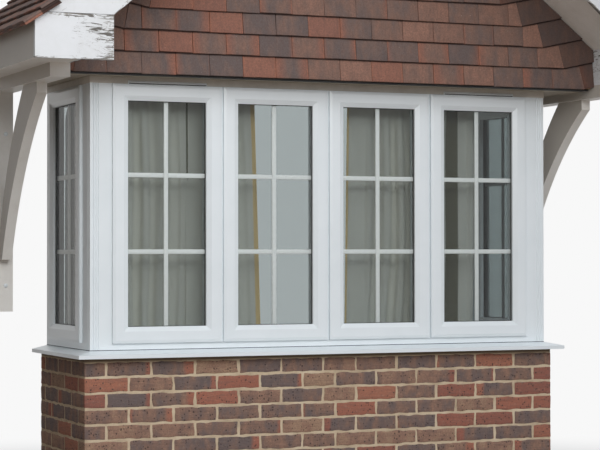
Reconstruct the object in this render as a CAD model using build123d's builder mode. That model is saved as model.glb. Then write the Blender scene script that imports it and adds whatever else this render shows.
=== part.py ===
from build123d import *
import os
from math import atan2, cos, degrees, radians, sin, tan

# A square bay window with a brick plinth, white casements on three sides, and a tile-hung
# gable under a small tiled roof that gallows brackets carry out from the house wall.
# X runs to the right, Y into the house and Z up, in millimetres. Z is 0 at the ground,
# X is 0 on the middle line, and the house wall is the plane at wall_y, where all pieces end.

# Driving dimensions of the bay
bay_width = 2470.0
frame_projection = 730.0
plinth_height = 920.0
plinth_thickness = 215.0
plinth_front_step = 16.0
plinth_side_step = 31.0
window_height = 1308.0

# Windows
frame_depth = 70.0
post_size = 70.0
jamb_sight = 34.6
head_sight = 35.3
foot_sight = 33.7
sash_gap = 10.0
sash_lap = 15.0
sash_count = 4
sash_proud = 18.0
sash_body = 50.0
sash_clearance = 3.0
sash_face = 78.0
sash_edge_width = 14.0
sash_edge_depth = 4.0
bead_width = 23.0
bead_depth = 12.0
glass_setback = 6.7
glass_thickness = 24.0
glass_cover = 12.0
reed_places = (16.0, 28.0, 41.0)
reed_side = 5.0
vent_length = 400.0
vent_height = 16.0
vent_reach = 14.0
vent_drop = 18.0

# Cill and window board
cill_height = 35.0
cill_reach = 77.7
cill_nosing = 17.5
cill_lip = 12.0
cill_drip = 8.0
window_board_height = 32.0
window_board_nosing = 25.0
window_board_round = 8.0

# Curtains over the window board
rail_width = 12.0
rail_height = 16.0
rail_front_inset = 160.0
rail_side_inset = 135.0
curtain_fullness = 60.0
curtain_bend = 60.0
curtain_hem = 13.0
curtain_hang = 0.3
curtain_open_left = -300.0
curtain_open_right = 175.0
curtain_end_right = 920.0
curtain_stack = 25.0

# Gallows brackets
bracket_offset = 194.7
beam_width = 96.0
beam_height = 64.0
beam_rise = 40.3
beam_reach = 326.0
post_thickness = 65.0
post_foot = 173.0
brace_thickness = 50.0
brace_set_back = 300.0
brace_nib = 50.0
brace_foot = 433.0
brace_foot_depth = 62.0
brace_head_depth = 235.0
brace_outer_bow = 70.0
brace_inner_bow = 55.0

# Gable and roof
roof_pitch = 40.0
tile_face_reach = 191.0
tile_zone = 40.0
tile_rise = 3.0
tile_gauge = 104.0
tile_kick = 13.0
gable_wall_thickness = 75.0
end_height = 204.5
fold_inset = 300.0
fold_tilt = 12.0
turned_length = 620.0
board_reach = 660.0
board_thickness = 22.0
barge_width = 205.0
barge_drop = 62.6
level_board_height = 200.0
level_board_drop = 14.0
level_board_inset = 100.0
barge_foot_gap = 2.0
soffit_thickness = 9.0
soffit_slot = 20.0
cheek_thickness = 12.0
eaves_reach = 260.0
fascia_thickness = 20.0
rafter_depth = 100.0
rafter_width = 50.0
deck_thickness = 33.0
plate_height = 119.0
joist_depth = 100.0
joist_width = 50.0
joist_count = 7
ridge_board_width = 32.0
roof_tile_gauge = 100.0
roof_tile_thin = 22.0
roof_tile_thick = 34.0
eaves_overhang = 45.0
verge_overhang = 40.0
ridge_radius = 115.0
ridge_sink = 62.0

# Places across the depth, from the house wall to the verge
overall_depth = frame_projection + board_reach + verge_overhang
wall_y = overall_depth / 2
frame_y = wall_y - frame_projection
plinth_y = frame_y - plinth_front_step
tile_y = frame_y - tile_face_reach
gable_wall_y = tile_y + tile_zone
gable_back_y = gable_wall_y + gable_wall_thickness
board_y = frame_y - board_reach
board_back_y = board_y + board_thickness
verge_y = board_y - verge_overhang
beam_end_y = frame_y - beam_reach

# Places across the width, from the middle line
half_bay = bay_width / 2
half_plinth = half_bay + plinth_side_step
bracket_x = half_bay + bracket_offset
beam_out_x = bracket_x + beam_width
cheek_out_x = bracket_x + cheek_thickness
fascia_x = bracket_x + eaves_reach
fascia_back_x = fascia_x - fascia_thickness

# Heights
frame_z = plinth_height + cill_height
head_z = frame_z + window_height
soffit_top_z = head_z + soffit_thickness
beam_z = head_z - beam_rise
beam_top_z = beam_z + beam_height
eaves_soffit_top_z = beam_top_z + soffit_thickness
level_board_z = beam_top_z - level_board_drop
level_board_top_z = level_board_z + level_board_height
tile_z = head_z + tile_rise
rake_z = tile_z + end_height
slope = tan(radians(roof_pitch))
slope_sine = sin(radians(roof_pitch))
slope_cosine = cos(radians(roof_pitch))
plumb = 1 / slope_cosine

# Sashes: four alike in front, and one of the same size in each return
sash_pitch = (bay_width - 2 * (post_size + jamb_sight)) / sash_count
sash_width = sash_pitch - sash_gap
sash_height = window_height - head_sight - foot_sight
return_width = frame_projection - post_size
glass_width = sash_width - 2 * sash_face + 2 * glass_cover
glass_height = sash_height - 2 * sash_face + 2 * glass_cover
sash_places = [(n - (sash_count - 1) / 2) * sash_pitch for n in range(sash_count)]
return_middle_y = frame_y + post_size + return_width / 2


def rake_height(x, rise=0.0):
    """Height at x of the gable's sloping underside, raised square to the slope by rise."""
    return rake_z + (bracket_x - abs(x)) * slope + rise * plumb


def facing_front(y):
    """Vertical plane at y that looks to the front, with X across and Z up."""
    return Plane.XZ.offset(-y)


def facing_side(x):
    """Vertical plane at x, with Y across and Z up."""
    return Plane.YZ.offset(x)


def save(piece, label):
    piece.part.label = label
    export_step(piece.part, f"parts/{label}.step")


def save_pair(piece, label):
    """Write a right-hand piece and its mirror image."""
    save(piece, f"{label}_right")
    with BuildPart() as other:
        mirror(piece.part, about=Plane.YZ)
    save(other, f"{label}_left")


def plank(x0, x1, y0, y1, z0, z1):
    """Square-cut piece between two corners."""
    with BuildPart() as piece:
        with BuildSketch(Plane.XY.offset(z0)):
            with Locations(((x0 + x1) / 2, (y0 + y1) / 2)):
                Rectangle(x1 - x0, y1 - y0)
        extrude(amount=z1 - z0)
    return piece


def front_board(points, y0, y1):
    """Board with an outline given in X and Z, from y0 back to y1."""
    with BuildPart() as piece:
        with BuildSketch(facing_front(y1)):
            with BuildLine():
                Polyline(*points, close=True)
            make_face()
        extrude(amount=y1 - y0)
    return piece


os.makedirs("parts", exist_ok=True)

# Brick plinth: a front wall and two returns that run back to the house
save(plank(-half_plinth, half_plinth, plinth_y, plinth_y + plinth_thickness, 0, plinth_height),
     "plinth_front")
save_pair(plank(half_plinth - plinth_thickness, half_plinth, plinth_y + plinth_thickness, wall_y,
                0, plinth_height), "plinth")

# Cill: one moulding with a sloped top, a nosing and a drip, mitred at the two corners
cill_section = [
    (frame_depth, 0),
    (0, 0),
    (-cill_reach, -cill_nosing),
    (-cill_reach, -cill_height),
    (-cill_reach + cill_lip, -cill_height),
    (-cill_reach + cill_lip, -cill_height + cill_drip),
    (-plinth_front_step - cill_lip, -cill_height + cill_drip),
    (-plinth_front_step, -cill_height),
    (frame_depth, -cill_height),
]
mitre = Plane(origin=(half_bay, frame_y, frame_z), x_dir=(0, 0, 1), z_dir=(1, 1, 0))

with BuildPart() as cill_front:
    with BuildSketch(facing_side(0)):
        with BuildLine():
            Polyline(*[(frame_y + y, frame_z + z) for y, z in cill_section], close=True)
        make_face()
    extrude(amount=half_bay + cill_reach, both=True)
    split(bisect_by=mitre, keep=Keep.BOTTOM)
    split(bisect_by=Plane(origin=(-half_bay, frame_y, frame_z), x_dir=(0, 0, 1), z_dir=(-1, 1, 0)),
          keep=Keep.BOTTOM)
save(cill_front, "cill_front")

with BuildPart() as cill_return:
    with BuildSketch(facing_front(wall_y)):
        with BuildLine():
            Polyline(*[(half_bay - y, frame_z + z) for y, z in cill_section], close=True)
        make_face()
    extrude(amount=frame_projection + cill_reach)
    split(bisect_by=mitre, keep=Keep.TOP)
save_pair(cill_return, "cill")

# Window board: the inside shelf on top of the plinth, in one U round the three sides
shelf_out_x = half_bay - frame_depth
shelf_in_x = half_plinth - plinth_thickness - window_board_nosing
shelf_out_y = frame_y + frame_depth
shelf_in_y = plinth_y + plinth_thickness + window_board_nosing


def on_nosing(edge):
    """True for the edges that look into the room."""
    middle = edge.center()
    return abs(middle.X) < (shelf_in_x + shelf_out_x) / 2 and middle.Y > (shelf_in_y + shelf_out_y) / 2


with BuildPart() as window_board:
    with BuildSketch(Plane.XY.offset(plinth_height)):
        with BuildLine():
            Polyline((-shelf_out_x, wall_y), (-shelf_out_x, shelf_out_y), (shelf_out_x, shelf_out_y),
                     (shelf_out_x, wall_y), (shelf_in_x, wall_y), (shelf_in_x, shelf_in_y),
                     (-shelf_in_x, shelf_in_y), (-shelf_in_x, wall_y), close=True)
        make_face()
    extrude(amount=window_board_height)
    fillet(window_board.edges().group_by(Axis.Z)[-1].filter_by(on_nosing), window_board_round)
save(window_board, "window_board")

# Corner posts: square box posts with fine reeds beside the outer corner on both faces
with BuildPart() as corner_post:
    with BuildSketch(Plane.XY.offset(frame_z)):
        with BuildLine():
            Polyline((half_bay - post_size, frame_y), (half_bay, frame_y), (half_bay, frame_y + post_size),
                     (half_bay - post_size, frame_y + post_size), close=True)
        make_face()
        for place in reed_places:
            with Locations((half_bay - place, frame_y), (half_bay, frame_y + place)):
                Rectangle(reed_side, reed_side, rotation=45, mode=Mode.SUBTRACT)
    extrude(amount=window_height)
save_pair(corner_post, "corner_post")


# A window frame lies in a plane with its outer face at depth 0: it is drawn in the plane it is given,
# with x across from the middle of the frame, and is as deep as frame_depth.
def outer_frame(face, width, openings):
    """Head, foot, jambs and mullions in one welded frame, with an opening behind each sash."""
    opening_width = sash_width - 2 * sash_lap
    opening_height = sash_height - 2 * sash_lap
    with BuildPart() as frame:
        with BuildSketch(face):
            with Locations((0, window_height / 2)):
                Rectangle(width, window_height)
            for place in openings:
                with Locations((place, foot_sight + sash_height / 2)):
                    Rectangle(opening_width, opening_height, mode=Mode.SUBTRACT)
        extrude(amount=-frame_depth)
    return frame


def sash(face, place):
    """Welded casement: a proud outer part, a body in the opening, a bead and a groove for the glass."""
    middle = (place, foot_sight + sash_height / 2)
    body_margin = 2 * (sash_lap + sash_clearance)
    bead_margin = 2 * (sash_face - bead_width)
    with BuildPart() as piece:
        with BuildSketch(face):
            with Locations(middle):
                Rectangle(sash_width, sash_height)
        extrude(amount=sash_proud - sash_edge_depth)
        with BuildSketch(face.offset(sash_proud - sash_edge_depth)):
            with Locations(middle):
                Rectangle(sash_width, sash_height)
        extrude(amount=sash_edge_depth, taper=degrees(atan2(sash_edge_width, sash_edge_depth)))
        with BuildSketch(face):
            with Locations(middle):
                Rectangle(sash_width - body_margin, sash_height - body_margin)
        extrude(amount=-sash_body)
        with BuildSketch(face.offset(sash_proud)):
            with Locations(middle):
                Rectangle(sash_width - 2 * sash_face, sash_height - 2 * sash_face)
        extrude(amount=-sash_proud - sash_body, mode=Mode.SUBTRACT)
        with BuildSketch(face.offset(sash_proud)):
            with Locations(middle):
                Rectangle(sash_width - bead_margin, sash_height - bead_margin)
        extrude(amount=-bead_depth, taper=degrees(atan2(bead_width, bead_depth)), mode=Mode.SUBTRACT)
        with BuildSketch(face.offset(-glass_setback)):
            with Locations(middle):
                Rectangle(glass_width, glass_height)
        extrude(amount=-glass_thickness, mode=Mode.SUBTRACT)
    return piece


def sealed_unit(face, places):
    """Double-glazed units, one in the groove of each sash."""
    with BuildPart() as panes:
        with BuildSketch(face.offset(-glass_setback)):
            with Locations(*[(place, foot_sight + sash_height / 2) for place in places]):
                Rectangle(glass_width, glass_height)
        extrude(amount=-glass_thickness)
    return panes


front_face = Plane(origin=(0, frame_y, frame_z), x_dir=(1, 0, 0), z_dir=(0, -1, 0))
right_face = Plane(origin=(half_bay, return_middle_y, frame_z), x_dir=(0, 1, 0), z_dir=(1, 0, 0))

save(outer_frame(front_face, bay_width - 2 * post_size, sash_places), "frame_front")
save_pair(outer_frame(right_face, return_width, [0]), "frame")
for number, place in enumerate(sash_places, start=1):
    save(sash(front_face, place), f"sash_{number}")
save_pair(sash(right_face, 0), "sash")
save(sealed_unit(front_face, sash_places), "glass_front")
save_pair(sealed_unit(right_face, [0]), "glass")

# Trickle vents: sloped hoods on the frame's head, over the first and the last sash
vent_top = window_height - vent_drop
with BuildPart() as trickle_vents:
    for place in (sash_places[0], sash_places[-1]):
        with BuildSketch(facing_side(place)):
            with BuildLine():
                Polyline((frame_y, frame_z + vent_top), (frame_y - vent_reach / 2, frame_z + vent_top),
                         (frame_y - vent_reach, frame_z + vent_top - vent_height / 2),
                         (frame_y - vent_reach, frame_z + vent_top - vent_height),
                         (frame_y, frame_z + vent_top - vent_height), close=True)
            make_face()
        extrude(amount=vent_length / 2, both=True)
save(trickle_vents, "trickle_vents")

# Soffit: a U of thin board round the frames' heads, and the ceiling board inside it
ceiling_x = half_bay - frame_depth / 2
ceiling_y = frame_y + frame_depth / 2
with BuildPart() as soffit:
    with BuildSketch(Plane.XY.offset(head_z)):
        with BuildLine():
            Polyline((-bracket_x, wall_y), (-bracket_x, gable_wall_y + soffit_slot),
                     (bracket_x, gable_wall_y + soffit_slot), (bracket_x, wall_y), (ceiling_x, wall_y),
                     (ceiling_x, ceiling_y), (-ceiling_x, ceiling_y), (-ceiling_x, wall_y), close=True)
        make_face()
    extrude(amount=soffit_thickness)
save(soffit, "soffit")
save(plank(-ceiling_x, ceiling_x, ceiling_y, wall_y, head_z, soffit_top_z), "ceiling")

# Curtain rail under the ceiling, bent round the bay, and the two curtains that hang from it
rail_x = half_bay - rail_side_inset
rail_y = frame_y + rail_front_inset
curtain_top_z = head_z - rail_height - curtain_hang
curtain_z = plinth_height + window_board_height + curtain_hem


def hung_band(bend, width, points):
    """Plan of a band of the given width along the rail, through the points, with rounded turns."""
    with BuildSketch() as band:
        with BuildLine() as route:
            FilletPolyline(*points, radius=bend)
        trace(route.line, width)
    return band.sketch


with BuildPart() as curtain_rail:
    with BuildSketch(Plane.XY.offset(head_z)):
        add(hung_band(curtain_bend, rail_width, [(-rail_x, wall_y), (-rail_x, rail_y), (rail_x, rail_y),
                                                 (rail_x, wall_y)]))
    extrude(amount=-rail_height)
save(curtain_rail, "curtain_rail")

with BuildPart() as curtains:
    with BuildSketch(Plane.XY.offset(curtain_top_z)):
        add(hung_band(curtain_bend, curtain_fullness, [(-rail_x, wall_y - curtain_stack), (-rail_x, rail_y),
                                                       (curtain_open_left, rail_y)]))
        with Locations(((curtain_open_right + curtain_end_right) / 2, rail_y)):
            Rectangle(curtain_end_right - curtain_open_right, curtain_fullness)
    extrude(amount=curtain_z - curtain_top_z)
save(curtains, "curtains")

# Gallows brackets: a post bolted to the wall, a beam on its head and a curved brace between them
save_pair(plank(bracket_x, beam_out_x, wall_y - post_thickness, wall_y, frame_z + post_foot, beam_z),
          "bracket_post")
save_pair(plank(bracket_x, beam_out_x, beam_end_y, wall_y, beam_z, beam_top_z), "bracket_beam")

brace_x = bracket_x + (beam_width - brace_thickness) / 2
brace_front_y = beam_end_y + brace_set_back
with BuildPart() as brace:
    with BuildSketch(facing_side(brace_x)):
        with BuildLine():
            post_y = wall_y - post_thickness
            foot_z = frame_z + brace_foot
            nib = (brace_front_y, beam_z - brace_nib)
            toe = (post_y - brace_foot_depth, foot_z)
            head = (brace_front_y + brace_head_depth, beam_z)
            crotch = (post_y, foot_z + brace_foot_depth)
            Line((brace_front_y, beam_z), nib)
            SagittaArc(nib, toe, brace_outer_bow)
            Line(toe, (post_y, foot_z))
            Line((post_y, foot_z), crotch)
            SagittaArc(crotch, head, -brace_inner_bow)
            Line(head, (brace_front_y, beam_z))
        make_face()
    extrude(amount=brace_thickness)
save_pair(brace, "bracket_brace")


# Gable: courses of hung tiles on a boarded stud wall. Near the rakes each course turns up
# and its end is cut along the slope, and below the rakes it ends square at the cheeks.
gable_outline = [(-bracket_x, tile_z), (bracket_x, tile_z), (bracket_x, rake_z), (0, rake_height(0)),
                 (-bracket_x, rake_z)]
course_count = int((rake_height(0) - tile_z) / tile_gauge) + 1
course_section = [(tile_y + tile_zone, 0), (tile_y, 0), (tile_y + tile_kick, tile_gauge),
                  (tile_y + tile_zone, tile_gauge)]


def fold_x(z):
    """Distance from the middle line at which the course with its tail at z turns up."""
    return bracket_x + (rake_z - z) / slope - fold_inset


with BuildPart() as gable_tiles:
    for course in range(course_count):
        tail = tile_z + course * tile_gauge
        fold = fold_x(tail)
        if fold > 0:
            with BuildSketch(facing_side(0)):
                with BuildLine():
                    Polyline(*[(y, tail + z) for y, z in course_section], close=True)
                make_face()
            extrude(amount=fold, both=True)
        start = max(fold, 0)
        for side in (-1, 1):
            along = Vector(side, 0, 0).rotate(Axis.Y, -side * fold_tilt)
            turned = Plane(origin=(side * start, 0, tail), x_dir=(0, 1, 0), z_dir=along)
            up = 1 if turned.y_dir.Z > 0 else -1
            with BuildSketch(turned):
                with BuildLine():
                    Polyline(*[(y, up * z) for y, z in course_section], close=True)
                make_face()
            extrude(amount=turned_length)
    with BuildSketch(facing_front(gable_wall_y)) as gable_face:
        with BuildLine():
            Polyline(*gable_outline, close=True)
        make_face()
    extrude(amount=tile_zone, mode=Mode.INTERSECT)
    extrude(gable_face.sketch, amount=tile_zone - tile_kick)
save(gable_tiles, "gable_tiles")

gable_wall_outline = [(-bracket_x, soffit_top_z), (bracket_x, soffit_top_z), (bracket_x, rake_z),
                      (0, rake_height(0)), (-bracket_x, rake_z)]
save(front_board(gable_wall_outline, gable_wall_y, gable_back_y), "gable_wall")

# Box ends: a level board under the foot of each bargeboard, and the cheek that closes the box
deck_rise = barge_width - barge_drop


def barge_x(z, drop):
    """Distance from the middle line at which the board's edge that hangs by drop is at height z."""
    return bracket_x + (rake_z - z - drop * plumb) / slope


inset_x = bracket_x - level_board_inset
foot_top_x = barge_x(level_board_top_z, -deck_rise)
box_outline = [(inset_x, level_board_z), (fascia_x, level_board_z),
               (fascia_x, rake_height(fascia_x, deck_rise)), (foot_top_x, level_board_top_z),
               (inset_x, level_board_top_z)]
cheek_outline = [(bracket_x, beam_top_z), (cheek_out_x, beam_top_z),
                 (cheek_out_x, rake_height(cheek_out_x)), (bracket_x, rake_z)]
with BuildPart() as box_end:
    for outline, back, thickness in ((box_outline, board_back_y, board_thickness),
                                     (cheek_outline, gable_back_y, gable_back_y - board_back_y)):
        with BuildSketch(facing_front(back)):
            with BuildLine():
                Polyline(*outline, close=True)
            make_face()
        extrude(amount=thickness)
save_pair(box_end, "box_end")

# Bargeboards: cut level just over the box ends and plumb at the apex
barge_foot_z = level_board_top_z + barge_foot_gap
barge_outline = [(barge_x(barge_foot_z, barge_drop), barge_foot_z),
                 (barge_x(barge_foot_z, -deck_rise), barge_foot_z),
                 (0, rake_height(0, deck_rise)), (0, rake_height(0, -barge_drop))]
save_pair(front_board(barge_outline, board_y, board_back_y), "bargeboard")

# Sloping soffits between the bargeboards and the gable
verge_outline = [(bracket_x, rake_z), (cheek_out_x, rake_height(cheek_out_x)),
                 (cheek_out_x, rake_height(cheek_out_x, soffit_thickness)),
                 (0, rake_height(0, soffit_thickness)), (0, rake_height(0))]
save_pair(front_board(verge_outline, board_back_y, gable_back_y), "verge_soffit")

# Eaves: a level soffit on the bracket beams and a fascia along each side
save_pair(plank(cheek_out_x, fascia_back_x, board_back_y, wall_y, beam_top_z, eaves_soffit_top_z),
          "eaves_soffit")
fascia_outline = [(fascia_back_x, level_board_z), (fascia_x, level_board_z),
                  (fascia_x, rake_height(fascia_x, deck_rise)),
                  (fascia_back_x, rake_height(fascia_back_x, deck_rise))]
save_pair(front_board(fascia_outline, board_back_y, wall_y), "fascia")

# Roof timbers: four pairs of rafters, notched over the wall plates, against a ridge board
rafter_low = soffit_thickness
rafter_high = soffit_thickness + rafter_depth
deck_low = deck_rise - deck_thickness
ridge_half = ridge_board_width / 2
rafter_places = (board_back_y, gable_back_y - rafter_width,
                 (gable_back_y + wall_y - rafter_width) / 2, wall_y - rafter_width)
tail_x = barge_x(eaves_soffit_top_z, -rafter_low)
rafter_outline = [(ridge_half, rake_height(ridge_half, rafter_low)), (tail_x, eaves_soffit_top_z),
                  (fascia_back_x, eaves_soffit_top_z),
                  (fascia_back_x, rake_height(fascia_back_x, rafter_high)),
                  (ridge_half, rake_height(ridge_half, rafter_high))]
plate_top_z = eaves_soffit_top_z + plate_height
with BuildPart() as roof_timbers:
    for place in rafter_places:
        with BuildSketch(facing_front(place + rafter_width)):
            for side in (-1, 1):
                with BuildLine():
                    Polyline(*[(side * x, z) for x, z in rafter_outline], close=True)
                make_face()
        extrude(amount=rafter_width)
    with BuildSketch(Plane.XY.offset(plate_top_z)):
        for side in (-1, 1):
            with Locations((side * (cheek_out_x + beam_out_x) / 2, (gable_back_y + wall_y) / 2)):
                Rectangle(beam_out_x - cheek_out_x, wall_y - gable_back_y)
    extrude(amount=-plate_height, mode=Mode.SUBTRACT)
    with BuildSketch(facing_front(wall_y)):
        with BuildLine():
            Polyline((-ridge_half, rake_height(0, rafter_low)), (ridge_half, rake_height(0, rafter_low)),
                     (ridge_half, rake_height(ridge_half, rafter_high)),
                     (-ridge_half, rake_height(ridge_half, rafter_high)), close=True)
        make_face()
    extrude(amount=wall_y - board_back_y)
save(roof_timbers, "roof_timbers")

# Ceiling joists from the gable wall to the house, and the wall plates beyond them
joist_pitch = 2 * (bracket_x - joist_width / 2) / (joist_count - 1)
with BuildPart() as ceiling_joists:
    with BuildSketch(facing_front(wall_y)):
        for number in range(joist_count):
            joist_x = joist_width / 2 - bracket_x + number * joist_pitch
            with Locations((joist_x, soffit_top_z + joist_depth / 2)):
                Rectangle(joist_width, joist_depth)
        for side in (-1, 1):
            with Locations((side * (cheek_out_x + beam_out_x) / 2, eaves_soffit_top_z + plate_height / 2)):
                Rectangle(beam_out_x - cheek_out_x, plate_height)
    extrude(amount=wall_y - gable_back_y)
save(ceiling_joists, "ceiling_joists")

# Roof boarding under the tiles, between the bargeboards' backs and the house
boarding_outline = [(0, rake_height(0, deck_low)), (fascia_back_x, rake_height(fascia_back_x, deck_low)),
                    (fascia_back_x, rake_height(fascia_back_x, deck_rise)), (0, rake_height(0, deck_rise))]
save_pair(front_board(boarding_outline, board_back_y, wall_y), "roof_boarding")

# Roof tiles: lapped courses, each thick at its tail, from the eaves up to the ridge
eaves_x = fascia_x + eaves_overhang
tile_run = eaves_x * plumb
roof_courses = int(tile_run / roof_tile_gauge) + 1


def on_slope(distance, rise):
    """Point a distance up the slope from the eaves, raised square to the slope above the boarding."""
    x = eaves_x - distance * slope_cosine + rise * slope_sine
    z = rake_height(eaves_x, deck_rise) + distance * slope_sine + rise * slope_cosine
    return x, z


with BuildPart() as roof_tiles:
    with BuildSketch(facing_front(wall_y)):
        with BuildLine():
            steps = [on_slope(0, 0)]
            for course in range(roof_courses):
                steps.append(on_slope(course * roof_tile_gauge, roof_tile_thick))
                steps.append(on_slope((course + 1) * roof_tile_gauge, roof_tile_thin))
            steps.append(on_slope(roof_courses * roof_tile_gauge, 0))
            Polyline(*steps, close=True)
        make_face()
    extrude(amount=wall_y - verge_y)
    split(bisect_by=facing_side(0), keep=Keep.TOP)
save_pair(roof_tiles, "roof_tiles")

# Ridge tiles: half rounds in one line, bedded on the top courses
bed_rise = deck_rise + roof_tile_thick
ridge_z = rake_height(0, bed_rise) - ridge_sink
bed_reach = 2 * ridge_radius
bed_z = rake_height(bed_reach, bed_rise)
with BuildPart() as ridge_tiles:
    with BuildSketch(facing_front(wall_y)):
        with Locations((0, ridge_z)):
            Circle(ridge_radius)
        with BuildLine():
            Polyline((0, rake_height(0, bed_rise)), (bed_reach, bed_z), (bed_reach, bed_z - bed_reach),
                     (-bed_reach, bed_z - bed_reach), (-bed_reach, bed_z), close=True)
        make_face(mode=Mode.SUBTRACT)
    extrude(amount=wall_y - verge_y)
save(ridge_tiles, "ridge_tiles")
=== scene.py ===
from functools import partial
from math import ceil, cos, pi, radians, sin, tan

import bmesh
import bpy
import numpy as np
from mathutils import Matrix, Vector, noise


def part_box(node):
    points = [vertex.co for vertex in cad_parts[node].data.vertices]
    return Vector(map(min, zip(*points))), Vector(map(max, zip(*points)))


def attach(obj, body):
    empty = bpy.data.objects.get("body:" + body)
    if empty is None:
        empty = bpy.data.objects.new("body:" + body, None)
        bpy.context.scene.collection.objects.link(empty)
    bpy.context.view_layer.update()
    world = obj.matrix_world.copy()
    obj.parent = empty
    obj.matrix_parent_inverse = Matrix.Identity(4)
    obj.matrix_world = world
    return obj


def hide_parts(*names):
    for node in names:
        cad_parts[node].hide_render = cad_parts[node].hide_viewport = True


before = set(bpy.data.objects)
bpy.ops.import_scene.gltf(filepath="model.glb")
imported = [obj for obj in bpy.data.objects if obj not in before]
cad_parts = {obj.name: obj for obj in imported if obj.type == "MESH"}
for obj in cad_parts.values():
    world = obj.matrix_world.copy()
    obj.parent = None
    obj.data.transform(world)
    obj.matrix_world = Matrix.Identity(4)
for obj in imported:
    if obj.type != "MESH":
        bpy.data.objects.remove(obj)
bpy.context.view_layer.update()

# Plinth bricks: multi-coloured facing stocks of 215 by 65 mm, pressed clay with a creased and
# sanded face, fired unevenly to purple, brown and red. They are laid in stretcher bond with
# 10 mm joints, turn the corners as headers, and one cut brick a course makes up the front.
brick_length, brick_height, brick_depth = 0.215, 0.065, 0.1025
brick_joint = 0.010
brick_course = brick_height + brick_joint
brick_courses = 12
first_bed = 0.0096
arris = 0.004
wide_lump, small_lump = 0.045, 0.014
shortest_end = 0.03
bonding = np.random.default_rng(7)
# without a seed the lumps that roughen takes from this module would change from run to run
noise.seed_set(5)


def new_pile():
    """Blocks that will become one mesh, with the numbers that their finish reads."""
    return {"points": [], "faces": [], "values": {}, "count": 0}


def add_to(pile, points, faces, **values):
    """Adds a block's points and faces, and its numbers, one for each point or one for all."""
    pile["points"].append(np.asarray(points, float))
    pile["faces"].extend(tuple(int(i) + pile["count"] for i in face) for face in faces)
    pile["count"] += len(points)
    for name, value in values.items():
        pile["values"].setdefault(name, []).append(np.broadcast_to(value, len(points)))


def place_piece(name, pile, finish, slot, *nodes, smooth=40):
    """Makes a pile into one piece that rides with the bay and stands for the CAD nodes named."""
    mesh = bpy.data.meshes.new(name)
    mesh.from_pydata(np.concatenate(pile["points"]).tolist(), [], pile["faces"])
    for label, parts in pile["values"].items():
        mesh.attributes.new(label, "FLOAT", "POINT").data.foreach_set("value", np.concatenate(parts))
    mesh.shade_smooth()
    mesh.set_sharp_from_angle(angle=radians(smooth))
    mesh.materials.append(finish)
    piece = bpy.data.objects.new(name, mesh)
    bpy.context.scene.collection.objects.link(piece)
    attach(piece, "root")
    if nodes:
        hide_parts(*nodes)
    return piece


def worn_block(low, high, edge, step):
    """Closed block with rounded edges, from corner to corner, divided about every step."""
    low, high = np.array(low, float), np.array(high, float)
    rows = []
    for a, b, size in zip(low, high, step):
        inner = np.linspace(a + edge, b - edge, max(1, ceil((b - a - 2 * edge) / size)) + 1)
        rows.append(np.concatenate([[a], inner, [b]]))
    shape = tuple(len(row) for row in rows)
    shell = np.ones(shape, bool)
    shell[1:-1, 1:-1, 1:-1] = False
    number = np.full(shape, -1)
    number[shell] = np.arange(shell.sum())
    points = np.stack(np.meshgrid(*rows, indexing="ij"), -1)[shell]
    core = np.clip(points, low + edge, high - edge)
    out = points - core
    points = core + edge * out / np.linalg.norm(out, axis=1, keepdims=True)
    faces = []
    for axis in range(3):
        for end in (0, -1):
            side = np.moveaxis(number, axis, 0)[end]
            quads = np.stack([side[:-1, :-1], side[1:, :-1], side[1:, 1:], side[:-1, 1:]], -1)
            quads = quads.reshape(-1, 4)
            faces.append(quads[:, ::-1] if (end == 0) != (axis == 1) else quads)
    return points, np.concatenate(faces)


def roughen(points, lump, depth, seed):
    """Moves points by smooth lumps of the given width, and depth or depths along the axes."""
    shift = Vector((seed * 3.7, seed * 1.3, seed * 7.1))
    return points + np.array(depth) * [noise.noise_vector(Vector(p) / lump + shift) for p in points]


def kiln_draw(draws, red_share, ends_share, reach):
    """One piece's tone, and the places along it, from -1 to 1, where its red ends begin. A share of
    the pieces is red all over, and a share has red ends that reach so far from each end."""
    kind, red_left, red_right = draws.uniform(), -2.0, 2.0
    tone = draws.uniform(0.15, 1.0)
    if kind < red_share:
        red_left = 2.0
    elif kind < red_share + ends_share:
        red_left, red_right = -1 + draws.uniform(*reach), 1 - draws.uniform(*reach)
        tone = draws.uniform(0.0, 0.6)
    return {"tone": tone, "chance": draws.uniform(), "red_left": red_left, "red_right": red_right}


def lay_brick(pile, low, high, along, corner=False):
    """Lays one brick; along is the axis of its length. Its outline waves more than its face."""
    fine, coarse, undivided = 0.015, 0.036, 0.2
    step = (coarse, fine, fine) if along else (fine, undivided, fine)
    points, faces = worn_block(low, high, arris, step)
    seed = bonding.uniform(0, 50)
    face_wave, bed_wave, bed_chip = 0.0012, 0.0050, 0.0018
    end_wave = face_wave if corner else bed_wave
    wave = np.array((face_wave, end_wave) if along else (end_wave, face_wave))
    points = roughen(points, wide_lump, (*wave, bed_wave), seed)
    points = roughen(points, small_lump, (*wave / 2, bed_chip), seed)
    points[:, 1] = np.minimum(points[:, 1], wall_y)
    middle = (low[along] + high[along]) / 2
    add_to(pile, points, faces, along=(points[:, along] - middle) / (high[along] - low[along]) * 2,
           **kiln_draw(bonding, 0.13, 0.45, (-0.35, 0.50)))


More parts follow.
